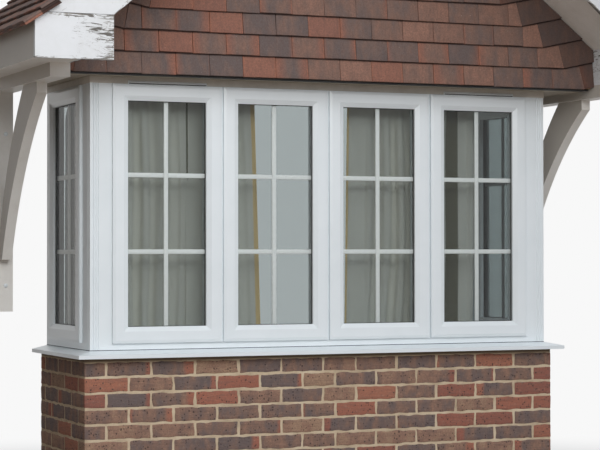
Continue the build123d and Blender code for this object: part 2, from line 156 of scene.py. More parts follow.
plinth_low, plinth_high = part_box("plinth_front")
wall_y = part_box("plinth_left")[1].y
half_plinth, plinth_face, plinth_top = plinth_high.x, plinth_low.y, plinth_high.z
bricks = new_pile()
for course in range(brick_courses):
    bed = first_bed + course * brick_course
    top = bed + brick_height
    header_left = course % 2 == 1
    for side in (-1, 1):
        # the corner brick shows its header in front on one side, and its face on the other
        header = header_left == (side < 0)
        corner = (brick_depth, brick_length) if header else (brick_length, brick_depth)
        ends = sorted((side * half_plinth, side * (half_plinth - corner[0])))
        lay_brick(bricks, (ends[0], plinth_face, bed), (ends[1], plinth_face + corner[1], top),
                  1 if header else 0, True)
        y = plinth_face + corner[1] + brick_joint
        ends = sorted((side * half_plinth, side * (half_plinth - brick_depth)))
        while y < wall_y - shortest_end:
            lay_brick(bricks, (ends[0], y, bed), (ends[1], min(y + brick_length, wall_y), top), 1)
            y += brick_length + brick_joint
    # nine stretchers from both ends, and the cut brick between them
    from_left, from_right = (5, 4) if header_left else (4, 5)
    first = -half_plinth + (brick_depth if header_left else brick_length) + brick_joint
    last = half_plinth - (brick_length if header_left else brick_depth) - brick_joint
    starts = [first + n * (brick_length + brick_joint) for n in range(from_left + 1)]
    stops = [last - n * (brick_length + brick_joint) for n in range(from_right, -1, -1)]
    spans = [(x, x + brick_length) for x in starts[:-1]] + [(starts[-1], stops[0])]
    for left, right in spans + [(x - brick_length, x) for x in stops[1:]]:
        lay_brick(bricks, (left, plinth_face, bed), (right, plinth_face + brick_depth, top), 0)


def linear(colour):
    """An sRGB hex colour as the linear values that a shader takes."""
    parts = [int(colour[i:i + 2], 16) / 255 for i in (1, 3, 5)]
    return tuple(p / 12.92 if p <= 0.04045 else ((p + 0.055) / 1.055) ** 2.4 for p in parts) + (1,)


def set_inputs(node, inputs):
    """Gives a node its inputs, in order or by name: plain values, hex colours, or outputs to link."""
    for socket, value in inputs.items() if isinstance(inputs, dict) else enumerate(inputs):
        if isinstance(value, bpy.types.NodeSocket):
            node.id_data.links.new(value, node.inputs[socket])
        else:
            node.inputs[socket].default_value = linear(value) if isinstance(value, str) else value


def add_node(tree, kind, inputs, out=0, stops=(), **settings):
    """Adds a node and returns its output out, or all of them. A kind in capitals is what a Math node
    does, and stops are a ramp's places and colours."""
    if kind.isupper():
        kind, settings = "Math", {"operation": kind}
    made = tree.nodes.new("ShaderNode" + kind)
    for name, value in settings.items():
        setattr(made, name, value)
    set_inputs(made, inputs)
    for number, (position, colour) in enumerate(stops):
        if number > 1:
            made.color_ramp.elements.new(position)
        made.color_ramp.elements[number].position = position
        made.color_ramp.elements[number].color = linear(colour)
    return made.outputs if out is None else made.outputs[out]


def new_finish(name):
    """A material, what adds nodes to it, its shader, and the place in metres that its patterns use."""
    finish = bpy.data.materials.new(name)
    finish.use_nodes = True
    add = partial(add_node, finish.node_tree)
    return finish, add, finish.node_tree.nodes["Principled BSDF"], add("TexCoord", {}, "Object")


def mottle(add, place, lumps, detail, rough=0.5, span=(), bent=0):
    """Cloudy pattern with so many lumps a metre, alike or one number for each axis. With a span it
    is an amount instead: where in the clouds it begins and ends, and how much there is at each."""
    lumps = lumps if isinstance(lumps, tuple) else (lumps,) * 3
    spread = add("VectorMath", (place, lumps), operation="MULTIPLY")
    cloud = add("TexNoise", {"Vector": spread, "Scale": 1, "Detail": detail, "Roughness": rough,
                             "Distortion": bent})
    return add("MapRange", (cloud, *span)) if span else cloud


def coats(add, body, *layers):
    """Lays colours over a body colour, one after another, each by an amount from 0 to 1."""
    for amount, colour in layers:
        body = add("Mix", {0: amount, 6: body, 7: colour}, 2, data_type="RGBA")
    return body


def fire_marks(add, place, cloud_lumps, spread, soft):
    """What the kiln leaves: a place of each piece's own, its clouds, its shade and its red share."""
    tone, chance, along, red_left, red_right = (
        add("Attribute", {}, "Fac", attribute_name=name)
        for name in ("tone", "chance", "along", "red_left", "red_right"))
    apart = add("CombineXYZ", (tone, chance, tone))
    own_place = add("VectorMath", (apart, (9, 9, 9), place), operation="MULTIPLY_ADD")
    cloud = mottle(add, own_place, cloud_lumps, 5, 0.6)
    shade = add("MapRange", (cloud, 0.3, 0.7, -spread, spread))
    shade = add("ADD", (tone, shade))
    left = add("SUBTRACT", (red_left, along))
    right = add("SUBTRACT", (along, red_right))
    red = add("MAXIMUM", (left, right))
    red = add("MULTIPLY_ADD", (cloud, 0.24, red))
    red = add("MapRange", (red, 0.12 - soft, 0.12 + soft))
    return own_place, cloud, shade, red, chance


def specks(add, own_place, spacing, radius, share, amount):
    """Small uneven spots, at most one for every spacing in metres: radius is in spacings."""
    stir = add("TexNoise", {"Vector": own_place, "Scale": 2 / spacing, "Detail": 2}, 1)
    spot = add("VectorMath", (stir, (spacing / 2,) * 3, own_place), operation="MULTIPLY_ADD")
    cells = add("TexVoronoi", {"Vector": spot, "Scale": 1 / spacing}, None)
    draw = add("SeparateXYZ", (cells[1],))
    size = add("MapRange", (draw, 0, share, radius, radius / 2))
    size = add("SUBTRACT", (size, cells[0]))
    size = add("MapRange", (size, 0, 0.08, 0, amount))
    here = add("LESS_THAN", (draw, share))
    return add("MULTIPLY", (size, here))


# Fired clay: dull, purple-brown where bricks touched in the kiln, with red ends that begin at a
# sharp upright line, dark iron pits of 3 to 8 mm, and a sanded, creased face.
fired_brick, add, shader, place = new_finish("fired_clay_sanded_stock_brick")
own_place, cloud, shade, red, chance = fire_marks(add, place, (20, 20, 10), 0.40, 0.08)
body = add("ValToRGB", (shade,), stops=(
    (0.0, "#706564"), (0.2, "#7d6c67"), (0.45, "#907365"), (0.7, "#a37f6c"), (1.0, "#b09077")))
reds = add("ValToRGB", (chance,), stops=((0.1, "#9d6456"), (0.5, "#ad6d5a"), (0.9, "#b47760")))
streak = mottle(add, own_place, (14, 14, 90), 4, 0.6)
smoke = add("MapRange", (streak, 0.48, 0.72, 0, 0.45))
gather = add("MapRange", (cloud, 0.40, 0.60, 0.60, 0.12))
pits = specks(add, own_place, 0.012, 0.42, gather, 0.9)
grains = mottle(add, own_place, 160, 3, 0.7, (0.35, 0.65, 0.5, 0.0))
dust = mottle(add, own_place, 70, 6, 0.75, (0.56, 0.8, 0, 0.55))
body = coats(add, body, (red, reds), (smoke, "#735f59"), (pits, "#3a2f2f"), (grains, "#6b5850"),
             (dust, "#b8a18a"))
sand = mottle(add, own_place, 420, 4, 0.65)
crease = add("MULTIPLY_ADD", (streak, 3.0, sand))
set_inputs(shader, {"Base Color": body, "Roughness": 0.92, "Specular IOR Level": 0.25,
                    "Normal": add("Bump", {"Height": crease, "Strength": 0.8, "Distance": 0.0014})})
place_piece("plinth_bricks", bricks, fired_brick, "brick")

# Plinth mortar: sand and lime with a little cement, buff, struck nearly flush with the bricks.
# It fills the wall between the bricks outside and the plaster inside, and it is the bed under
# the cill.
recess, end_gap, even_edge = 0.0016, 0.002, 0.002
plaster_depth = 0.013
room_x, plinth_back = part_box("plinth_right")[0].x, plinth_high.y
outer_x, inner_x, back_y = half_plinth - recess, room_x + plaster_depth, plinth_back - plaster_depth
end_y = wall_y - end_gap
mortar = new_pile()
for low, high, step in (((-outer_x, plinth_face + recess), (outer_x, back_y), (0.025, 0.2, 0.025)),
                        ((inner_x, back_y), (outer_x, end_y), (0.2, 0.025, 0.025)),
                        ((-outer_x, back_y), (-inner_x, end_y), (0.2, 0.025, 0.025))):
    points, faces = worn_block((*low, 0), (*high, plinth_top), 0.001, step)
    inside = np.logical_and(points[:, 2] > even_edge, points[:, 2] < plinth_top - even_edge)
    points[inside] = roughen(points[inside], 0.05, 0.0008, 3)
    add_to(mortar, points, faces)
# Weathered lime mortar: pale, gritty with sand of 1 to 2 mm, with soft grey stains. Right under the
# cill it is painted dark brown, as painted shade of the cill.
lime_mortar, add, shader, place = new_finish("sand_and_lime_mortar_struck")
stain = mottle(add, place, 9, 6, 0.65)
body = add("ValToRGB", (stain,), stops=((0.3, "#b5a188"), (0.5, "#cfbb9f"), (0.72, "#dccbb0")))
up = add("SeparateXYZ", (place,), 2)
# painted shade: the top of the mortar bed, under the cill, is darkened to brown
painted_shade = add("MapRange", (up, plinth_top - 0.021, plinth_top - 0.012, 0, 0.85))
above = add("MapRange", (up, plinth_top + 0.05, plinth_top + 0.06, 1, 0))
painted_shade = add("MULTIPLY", (painted_shade, above))
grit = add("TexNoise", {"Vector": place, "Scale": 700, "Detail": 3, "Roughness": 0.7}, None)
body = add("Mix", {0: 0.4, 6: coats(add, body, (painted_shade, "#5d4f40")), 7: grit[1]}, 2,
           data_type="RGBA", blend_type="SOFT_LIGHT")
set_inputs(shader, {"Base Color": body, "Roughness": 0.96, "Specular IOR Level": 0.2,
                    "Normal": add("Bump", {"Height": grit[0], "Strength": 0.7, "Distance": 0.0015})})
place_piece("plinth_mortar", mortar, lime_mortar, "brick")

# Plinth plaster: a coat of gypsum plaster, trowelled smooth and painted, on the room side of the
# brickwork from the floor to the window board.
plaster = new_pile()
for low, high in (((-room_x, back_y), (room_x, plinth_back)), ((room_x, back_y), (inner_x, wall_y)),
                  ((-inner_x, back_y), (-room_x, wall_y))):
    add_to(plaster, *worn_block((*low, 0), (*high, plinth_top), 0.001, (0.3, 0.3, 0.3)))
# Painted plaster: warm white emulsion with the fine stipple of a roller.
painted_plaster, add, shader, place = new_finish("gypsum_plaster_rolled_emulsion")
body = add("ValToRGB", (mottle(add, place, 3, 4),), stops=((0.3, "#dcd8ce"), (0.7, "#e6e3da")))
stipple = mottle(add, place, 500, 2)
set_inputs(shader, {"Base Color": body, "Roughness": 0.85,
                    "Normal": add("Bump", {"Height": stipple, "Strength": 0.25, "Distance": 0.0006})})
place_piece("plinth_plaster", plaster, painted_plaster, "brick",
            "plinth_front", "plinth_left", "plinth_right")

# Cill, posts, frames, sashes, vents and curtain rail: hollow profiles of white PVC, extruded with a
# satin skin, mitred, welded and screwed together. The shapes are the CAD's own.
white_pvc, add, shader, place = new_finish("white_pvc_extruded_satin")
# Extruded PVC is even and pale, a little cool; rain leaves the faintest film on it.
film = mottle(add, place, 5, 5, 0.6)
body = add("ValToRGB", (film,), stops=((0.3, "#e6edf0"), (0.7, "#ebf1f4")))
gloss = add("MapRange", (film, 0.3, 0.7, 0.28, 0.38))
set_inputs(shader, {"Base Color": body, "Roughness": gloss, "IOR": 1.54})


def dress(finish, *kinds):
    """Gives CAD nodes a finish; a kind of node that each side has is named without its side."""
    for name in (kind + side for kind in kinds for side in ("", "_front", "_left", "_right")):
        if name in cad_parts:
            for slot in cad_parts[name].material_slots:
                slot.material = finish


sashes = ("sash_1", "sash_2", "sash_3", "sash_4", "sash_left", "sash_right")
dress(white_pvc, *sashes, "cill", "corner_post", "frame", "trickle_vents", "curtain_rail")

# Joint under the frames: a black strip, 3 mm high, between the frames and posts and the cill all the
# way round, standing a little proud of their faces. It is a rubber seal, and its black is also painted
# shadow of the gap there.
foot_low, foot_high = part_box("frame_front")[0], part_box("corner_post_right")[1]
strip_out, strip_lap, strip_high, strip_z = 0.0006, 0.002, 0.003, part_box("cill_front")[1].z


def band_round(half, out, lap, low_z, high_z, edge):
    """A band on the frames and posts, half as long in front, that stands out and laps behind."""
    band = new_pile()
    x, y = foot_high.x, foot_low.y
    for low, high in (((-half, y - out), (half, y + lap)),
                      ((-x - out, y + lap), (-x + lap, wall_y)), ((x - lap, y + lap), (x + out, wall_y))):
        add_to(band, *worn_block((*low, low_z), (*high, high_z), edge, (1, 1, 1)))
    return band


def plain_finish(name, cloud, tones, rough):
    """A matt, even material: cloud is its lumps a metre, their detail and how rough they are."""
    finish, add, shader, place = new_finish(name)
    body = add("ValToRGB", (mottle(add, place, *cloud),), stops=tones)
    set_inputs(shader, {"Base Color": body, "Roughness": rough})
    return finish


strip = band_round(foot_high.x, strip_out, strip_lap, strip_z - 0.0005, strip_z + strip_high, 0.0005)
# Black rubber: matt and even, with a faint bloom of dust; its near-black also stands for painted shadow of
# the gap.
black_strip_gap_shadow = plain_finish("epdm_rubber_strip_painted_gap_shadow", (12, 4), ((0.35, "#3a4046"), (0.7, "#565e64")), 0.7)
place_piece("cill_joint_strip", strip, black_strip_gap_shadow, "white_plastic")

# Head trim: a painted bead, 3 mm thick, that covers the frames' heads and the posts between the
# soffit and the tops of the sashes, on the front and on both returns.
trim_thick = 0.003
trim_low, trim_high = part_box("sash_1")[1].z + 0.002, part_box("soffit")[0].z - 0.0003
trim = band_round(foot_high.x + trim_thick, trim_thick, 0, trim_low, trim_high, 0.001)
# Old brushed paint, brownish grey: partly dust, and partly painted shade under the soffit.
dusty_paint_and_shade = plain_finish("softwood_brushed_white_paint_dusty_and_shaded", (8, 6, 0.7),
                           ((0.3, "#cac4ba"), (0.7, "#dcd7ce")), 0.6)
place_piece("window_head_trim", trim, dusty_paint_and_shade, "painted_timber")

# Vent slots: a near-black strip, 4 mm high, along the foot of each vent's hood, where air goes in; it
# is the slot and the painted shadow under the hood.
slot_inset, slot_foot, slot_high = 0.003, 0.0005, 0.004
slots = new_pile()
vent_low, vent_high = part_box("trickle_vents")
vent_ends = sorted(v.co.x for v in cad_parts["trickle_vents"].data.vertices)
near_middle = [max(x for x in vent_ends if x < 0), min(x for x in vent_ends if x > 0)]
for left, right in ((vent_low.x, near_middle[0]), (near_middle[1], vent_high.x)):
    low = (left + slot_inset, vent_low.y - strip_out, vent_low.z + slot_foot)
    high = (right - slot_inset, vent_low.y + strip_lap, vent_low.z + slot_foot + slot_high)
    add_to(slots, *worn_block(low, high, 0.0005, (1, 1, 1)))
# Dull near-black plastic: the slot's inside, painted as painted shadow under the hood.
slot_shadow_plastic = plain_finish("vent_screen_painted_shadow", (40, 4), ((0.35, "#1d1b19"), (0.7, "#2e2b28")), 0.8)
place_piece("trickle_vent_slots_painted_shadow", slots, slot_shadow_plastic, "white_plastic")

# Sealed units: two sheets of 4 mm float glass held 16 mm apart by a dark spacer bar round the
# edge, with flat white bars between the sheets that part each sash into two by three panes.
pane_low, pane_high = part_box("glass_right")
pane_half, pane_bottom, pane_top = (pane_high.y - pane_low.y) / 2, pane_low.z, pane_high.z
unit_depth = pane_high.x - pane_low.x
front_x, front_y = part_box("corner_post_right")[1].x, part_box("frame_front")[0].y
unit_setback = front_x - pane_high.x
sheet = 0.004
seal, spacer_height = 0.0045, 0.0075
inset = seal + spacer_height
bar_width, bar_depth, bar_edge = 0.022, 0.009, 0.0022
cill_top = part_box("cill_front")[1].z
bar_heights = (cill_top + 0.4712, cill_top + 0.8393)


def sash_place(node):
    """Matrix of a sash: across to the right seen from outside, depth into the room, and up."""
    low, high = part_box(node)
    middle = (low + high) / 2
    if node == "sash_left":
        return Matrix(((0, 1, 0, -front_x), (-1, 0, 0, middle.y), (0, 0, 1, 0), (0, 0, 0, 1)))
    if node == "sash_right":
        return Matrix(((0, -1, 0, front_x), (1, 0, 0, middle.y), (0, 0, 1, 0), (0, 0, 0, 1)))
    return Matrix(((1, 0, 0, middle.x), (0, 1, 0, front_y), (0, 0, 1, 0), (0, 0, 0, 1)))


def moved(points, matrix):
    """Points taken from their own place to the bay's."""
    turn = np.array(matrix)
    return points @ turn[:3, :3].T + turn[:3, 3]


def rim(half, low, high, width, near, far, lap):
    """Four strips round a rectangle, as corner pairs; the upright ones run past the level ones."""
    return (((-half, near, low), (width - half, far, high)), ((half - width, near, low), (half, far, high)),
            ((width - half - lap, near, low), (half - width + lap, far, low + width)),
            ((width - half - lap, near, high - width), (half - width + lap, far, high)))


def fit_block(pile, there, low, high, edge, step):
    """Fits a worn block where a sash is."""
    points, faces = worn_block(low, high, edge, step)
    add_to(pile, moved(points, there), faces)


outer_sheets, inner_sheets, spacers, bars, gaskets = (new_pile() for kind in range(5))
for node in sashes:
    there = sash_place(node)
    for pile, depth in ((outer_sheets, unit_setback), (inner_sheets, unit_setback + unit_depth - sheet)):
        fit_block(pile, there, (-pane_half, depth, pane_bottom), (pane_half, depth + sheet, pane_top),
                  0.0004, (1, 1, 2))
    near, far = unit_setback + sheet, unit_setback + unit_depth - sheet
    for low, high in rim(pane_half - seal, pane_bottom + seal, pane_top - seal, spacer_height, near, far, 0):
        fit_block(spacers, there, low, high, 0.0005, (1, 1, 2))
    near = unit_setback + (unit_depth - bar_depth) / 2
    fit_block(bars, there, (-bar_width / 2, near, pane_bottom + inset),
              (bar_width / 2, near + bar_depth, pane_top - inset), bar_edge, (1, 1, 0.4))
    for height in bar_heights:
        for left, right in ((inset - pane_half, -bar_width / 2), (bar_width / 2, pane_half - inset)):
            fit_block(bars, there, (left, near + 0.0004, height - bar_width / 2),
                      (right, near + bar_depth - 0.0004, height + bar_width / 2), bar_edge, (0.4, 1, 1))
    # the gasket is a thin soft line where the outer sheet meets the sash
    cover, lip = 0.011, 0.004
    for low, high in rim(pane_half - cover, pane_bottom + cover, pane_top - cover, lip,
                         unit_setback - 0.001, unit_setback + 0.0002, 0.0005):
        fit_block(gaskets, there, low, high, 0.0005, (1, 1, 2))
# Float glass: the outer sheet is clear. The inner one is tinted grey-green only for what the camera
# sees: painted shade that makes the room look dim from outside, while light falls in through it clear.
# Both are mirror-smooth. They mirror 45% of what glass does, because all that surrounds them here is
# white. Light that falls on them at a slant is thrown back, so less of it comes through.
tints = {"float_glass_clear": "#fbfdfc", "float_glass_tinted_painted_room_shade": "#ccd0d1"}
mirror_share = 0.45
glass_finishes = []
for name, colour in tints.items():
    finish, add, shader, place = new_finish(name)
    finish.node_tree.nodes.remove(shader)
    seen = add("LightPath", {}, "Is Camera Ray")
    slant = add("LayerWeight", {"Blend": 0.5}, "Facing")
    lost = add("POWER", (slant, 4.0))
    # painted shade: the tint darkens only what the camera sees through the glass
    clear = add("BsdfTransparent", {"Color": coats(add, "#ffffff", (lost, "#000000"), (seen, colour))})
    mirror = add("BsdfGlossy", {"Color": "#ffffff", "Roughness": 0.01})
    outside = add("SUBTRACT", (1.0, add("NewGeometry", {}, "Backfacing")))
    outside = add("MULTIPLY", (outside, seen))
    amount = add("MULTIPLY", (add("Fresnel", {"IOR": 1.5}), outside))
    amount = add("MULTIPLY", (amount, mirror_share))
    glass = add("MixShader", (amount, clear, mirror))
    set_inputs(finish.node_tree.nodes["Material Output"], {"Surface": glass})
    glass_finishes.append(finish)
place_piece("glazing_outer_sheets", outer_sheets, glass_finishes[0], "glazing",
            "glass_front", "glass_left", "glass_right", smooth=1)
place_piece("glazing_inner_sheets", inner_sheets, glass_finishes[1], "glazing", smooth=1)
# Powder-coated aluminium bars and dark anodised spacers, and a gasket of extruded EPDM rubber:
# thin, even and matt, with only a faint cloud of dust on each.
for name, pile, finish_name, slot, dark, pale, rough in (
        ("glazing_bars", bars, "aluminium_white_powder_coat", "white_plastic", "#d6d9d9", "#dfe2e2", 0.45),
        ("glazing_spacers", spacers, "aluminium_dark_anodised", "glazing", "#2e3231", "#3c403f", 0.5),
        ("glazing_gaskets", gaskets, "epdm_rubber_extruded", "glazing", "#2a2d2e", "#383c3d", 0.7)):
    finish = plain_finish(finish_name, (60, 3), ((0.3, dark), (0.7, pale)), rough)
    place_piece(name, pile, finish, slot)

# Curtains: lined cotton, gathered on a pencil-pleat tape and hung from the rail. Two hang on the
# left, which runs round the return, and two on the right. Each has an ochre border down the side
# that leads when it is drawn. By the wall the left one is drawn out towards the return's window.
cloth_low, cloth_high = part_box("curtains")
rail_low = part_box("curtain_rail")[0]
rail_x, rail_y = rail_low.x + 0.006, rail_low.y + 0.006
rail_turn = 0.060
rail_run = cloth_high.y - rail_turn - rail_y
rail_bend = rail_turn * pi / 2
drop = cloth_high.z - cloth_low.z
lining_gap = 0.0016
point_spacing = 0.005
fold_width, fold_depth, deepest, pleat_width = (0.066, 0.135), (0.015, 0.027), 0.0285, 0.026
wall_end_out = 0.048
gathering = np.random.default_rng(23)


def rail_point(distance):
    """Where the rail's line is at a distance from its left end, and which way the glass lies."""
    if distance < rail_run:
        return Vector((rail_x, cloth_high.y - distance, 0)), Vector((-1, 0, 0))
    if distance < rail_run + rail_bend:
        angle = (distance - rail_run) / rail_turn
        out = Vector((-cos(angle), -sin(angle), 0))
        return Vector((rail_x + rail_turn, rail_y + rail_turn, 0)) + rail_turn * out, out
    return Vector((rail_x + rail_turn + distance - rail_run - rail_bend, rail_y, 0)), Vector((0, -1, 0))


def on_rail(x):
    """The distance along the rail of a place on its front run."""
    return rail_run + rail_bend + x - rail_x - rail_turn


def settled(value):
    """Runs smoothly from 0 to 1 as a value does."""
    value = min(max(value, 0.0), 1.0)
    return value * value * (3 - 2 * value)


def net(rows, wide, first=0, closed=False):
    """The faces between rows of points, so many in each; in a closed net the last joins the first."""
    return [(a, a + wide, b + wide, b) for row in range(first, first + (rows - 1) * wide, wide)
            for a, b in ((row + n, row + (n + 1) % wide) for n in range(wide if closed else wide - 1))]


def hang_curtain(name, start, end, back, border, lining, leads_right):
    """Hangs a curtain: start and end are its sides on the rail, each at the rail and at the hem.
    Its leading border is so wide, and the number after it is how much of the border is painted
    brown-grey, for the lining turned to the front, as painted shade."""
    length = end[0] - start[0]
    columns, rows = ceil(length / point_spacing), 40
    folds = np.cumsum(gathering.uniform(*fold_width, ceil(length / 0.06) + 2))
    deep = gathering.uniform(*fold_depth, len(folds))
    seed = gathering.uniform(0, 50)
    front, behind, across = [], [], []
    for row in range(rows + 1):
        fallen = row / rows
        for column in range(columns + 1):
            t = column / columns
            crease = float(np.interp(t * length, folds, range(len(folds))))
            crease += 0.35 * noise.noise(Vector((t * length * 6, fallen * 1.6, seed)))
            depth = float(np.interp(t * length, folds, deep)) * (0.3 + 0.7 * settled(fallen * 4))
            from_lead = length * (1 - t if leads_right else t)
            wave = depth * sin(2 * pi * crease) * (0.10 + 0.90 * settled(from_lead / 0.09))
            pleat = 0.005 * (1 - settled(fallen * 12)) * sin(2 * pi * t * length / pleat_width)
            out = min(max(wave + pleat - back, -deepest), deepest)
            swing = -0.25 * depth * sin(4 * pi * crease)
            side_a = start[0] + (start[1] - start[0]) * fallen
            side_b = end[0] + (end[1] - end[0]) * fallen
            along_rail = side_a + (side_b - side_a) * t
            wall_end = settled((0.30 - along_rail) / 0.18)
            out *= (0.5 + 0.5 * settled((along_rail - rail_run) / 0.1 + 1)) * (1 - 0.5 * wall_end)
            out += wall_end_out * wall_end * (0.4 + 0.6 * settled(fallen * 8))
            keep = min(t, 1 - t, 0.05) / 0.05
            spot, towards = rail_point(max(along_rail + swing * keep, 0.0))
            spot = spot + towards * out
            spot.z = cloth_high.z - drop * fallen + (0.002 * noise.noise(spot * 8) if row == rows else 0)
            front.append(spot)
            behind.append(spot - towards * lining_gap)
            across.append(t)
    count, wide = len(front), columns + 1
    faces = net(rows + 1, wide)
    faces += [tuple(i + count for i in reversed(face)) for face in faces]
    edge = [*range(0, count, wide), *range(count - columns, count), *range(count - 1 - wide, 0, -wide),
            *range(columns - 1, 0, -1)]
    faces += [(b, a, a + count, b + count) for a, b in zip(edge, edge[1:] + edge[:1])]
    line = np.array([list(front[rows // 2 * wide + column]) for column in range(wide)])
    width = round(float(np.linalg.norm(np.diff(line, axis=0), axis=1).sum()), 2)
    across = np.array(across + across)
    lead = ((1 - across) if leads_right else across) * width / border
    pile = new_pile()
    add_to(pile, [list(p) for p in front + behind], faces, lead=lead, lining=lining)
    piece = place_piece(name, pile, lined_cotton, "curtain_cloth", "curtains", smooth=60)


# Lined cotton: cream, plain-woven and matt, with slubs; the real threads are 0.5 mm apart, and
# they are drawn about 3 mm apart so that they show. The border is ochre; where a curtain is turned
# back it is painted brown-grey instead, for its lining turned to the front, as painted shade.
lined_cotton, add, shader, place = new_finish("cotton_plain_woven_lined")
lead, lining = (add("Attribute", {}, "Fac", attribute_name=name) for name in ("lead", "lining"))
slubs = mottle(add, place, (320, 320, 26), 3, 0.6)
weft = mottle(add, place, (26, 26, 320), 3, 0.6)
weave = add("ADD", (slubs, weft))
threads = add("MULTIPLY", (weave, 0.5))
body = add("ValToRGB", (threads,), stops=((0.35, "#e6e3d8"), (0.65, "#f3f0e6")))
border = add("MapRange", (lead, 0.95, 1.05, 1, 0))
# painted shade: the turned border is darkened to brown-grey
body = coats(add, body, (border, coats(add, "#ffdc9c", (lining, "#6f6b58"))))
set_inputs(shader, {"Base Color": body, "Roughness": 0.9, "Specular IOR Level": 0.2, "Sheen Weight": 0.25,
                    "Normal": add("Bump", {"Height": weave, "Strength": 0.35, "Distance": 0.0008})})
hang_curtain("curtain_return_left", (0.0, 0.0), (on_rail(-0.684), on_rail(-0.680)), 0.0, 0.014, 1.0, True)
hang_curtain("curtain_front_left", (on_rail(-0.700), on_rail(-0.698)), (on_rail(-0.329), on_rail(-0.292)),
             0.006, 0.034, 0.0, True)
hang_curtain("curtain_front_right", (on_rail(0.182), on_rail(0.163)), (on_rail(0.750), on_rail(0.748)),
             0.0, 0.014, 0.0, False)
hang_curtain("curtain_return_right", (on_rail(0.735), on_rail(0.735)), (on_rail(0.910), on_rail(0.905)),
             0.006, 0.085, 1.0, False)

# Timber outside: brackets, soffits, fascias and the window board, of softwood that was brush
# painted white. Under the eaves the gloss has gone dull, and faces turned sideways are painted
# darker as painted shade.
dull_paint, add, shader, place = new_finish("softwood_brushed_white_paint_dulled")
chalk = mottle(add, place, 6, 6, 0.7)
body = add("ValToRGB", (chalk,), stops=((0.3, "#e6e3dc"), (0.5, "#eeebe5"), (0.7, "#f2f0eb")))
# painted shade: faces that turn to the left or right are greyed
sideways = add("SeparateXYZ", (add("NewGeometry", {}, "Normal"),))
sideways = add("ABSOLUTE", (sideways,))
side_shade = add("MapRange", (sideways, 0.8, 0.95, 0, 0.75))
brush = mottle(add, place, (60, 60, 700), 3)
set_inputs(shader, {"Base Color": coats(add, body, (side_shade, "#a89f93")), "Roughness": 0.5,
                    "Normal": add("Bump", {"Height": brush, "Strength": 0.3, "Distance": 0.0005})})
dress(dull_paint, "bracket_post", "bracket_beam", "bracket_brace", "verge_soffit", "eaves_soffit",
      "fascia", "window_board")
dress(painted_plaster, "ceiling")

# Soffit over the windows: a painted board, stained by rain. Its dull grey-brown is partly dirt and
# partly painted shade under the tiles, and the band along its front edge, under the tails of the first
# tiles, is painted black as painted shadow.
damp_paint, add, shader, place = new_finish("softwood_brushed_white_paint_stained_painted_shade")
stain = mottle(add, place, 9, 6, 0.7)
body = add("ValToRGB", (stain,), stops=((0.3, "#9f9586"), (0.7, "#b9b0a0")))
inwards = add("SeparateXYZ", (place,), 1)
inwards = add("MULTIPLY_ADD", (stain, -0.02, inwards))
# painted shadow: the front band is blackened where it lies in the shadow gap under the tiles
painted_shade = add("MapRange", (inwards, -0.098, -0.080, 1, 0))
set_inputs(shader, {"Base Color": coats(add, body, (painted_shade, "#120d0a")), "Roughness": 0.7,
                    "Normal": add("Bump", {"Height": stain, "Strength": 0.3, "Distance": 0.0005})})
dress(damp_paint, "soffit")

# Level boards and bargeboards: softwood boards in full weather. Their white gloss has cracked
# along the grain and flaked to grey wood at the cut ends, the joints and the lower edges.
roof_pitch = radians(40)
board_height = 0.200
for board, slope, wear_top in (("box_end", 0.0, 1.0), ("bargeboard", roof_pitch, 0.35)):
    corners = [v.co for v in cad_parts[board + "_right"].data.vertices]
    board_foot = min(v.z * cos(slope) + v.x * sin(slope) for v in corners)
    board_end = min(v.x for v in corners)
    # Aged gloss paint: chalky white, with flakes of 4 to 10 mm by 20 to 100 mm along the grain.
    aged_gloss, add, shader, place = new_finish("softwood_white_gloss_flaking_" + board)
    parts = add("SeparateXYZ", (place,), None)
    out = add("ABSOLUTE", (parts[0],))
    falls = add("MULTIPLY", (parts[2], -sin(slope)))
    along = add("MULTIPLY_ADD", (out, cos(slope), falls))
    rises = add("MULTIPLY", (parts[2], cos(slope)))
    over = add("MULTIPLY_ADD", (out, sin(slope), rises))
    board_top = board_foot + board_height
    low_wear = add("MapRange", (over, board_foot, board_foot + 0.022, 1.0, 0))
    high_wear = add("MapRange", (over, board_top - 0.03, board_top, 0, wear_top))
    end_wear = add("MapRange", (out, board_end, board_end + 0.24, 0.80, 0))
    wear = add("MAXIMUM", (low_wear, high_wear))
    wear = add("MAXIMUM", (wear, end_wear))
    patch = mottle(add, place, 9, 3, 0.5, (0.35, 0.65, -0.25, 0.25))
    wear = add("ADD", (wear, patch))
    grain = add("CombineXYZ", (along, parts[1], over))
    flake = mottle(add, grain, (10, 10, 80), 4, 0.6, bent=0.8)
    limit = add("MapRange", (wear, 0.2, 1.1, 0.72, 0.44))
    bare = add("SUBTRACT", (flake, limit))
    bare = add("MapRange", (bare, 0.0, 0.012, 0, 1))
    crack = mottle(add, grain, (8, 8, 30), 4, 0.6, bent=1.2)
    crack = add("SUBTRACT", (crack, 0.5))
    crack = add("ABSOLUTE", (crack,))
    limit = add("MapRange", (wear, 0.1, 0.8, -0.006, 0.024))
    crack = add("SUBTRACT", (limit, crack))
    crack = add("MapRange", (crack, 0.0, 0.010, 0, 0.85))
    bare = add("MAXIMUM", (bare, crack))
    wood = add("ValToRGB", (flake,), stops=((0.45, "#96918a"), (0.66, "#55514c")))
    chalk = mottle(add, place, 7, 6, 0.7)
    paint = add("ValToRGB", (chalk,), stops=((0.3, "#cfd0d0"), (0.5, "#d8dadc"), (0.7, "#dcdee1")))
    height = add("MULTIPLY_ADD", (bare, -2.0, chalk))
    set_inputs(shader, {"Base Color": coats(add, paint, (bare, wood)), "Roughness": 0.5,
                        "Normal": add("Bump", {"Height": height, "Strength": 0.5, "Distance": 0.0008})})
    dress(aged_gloss, board)

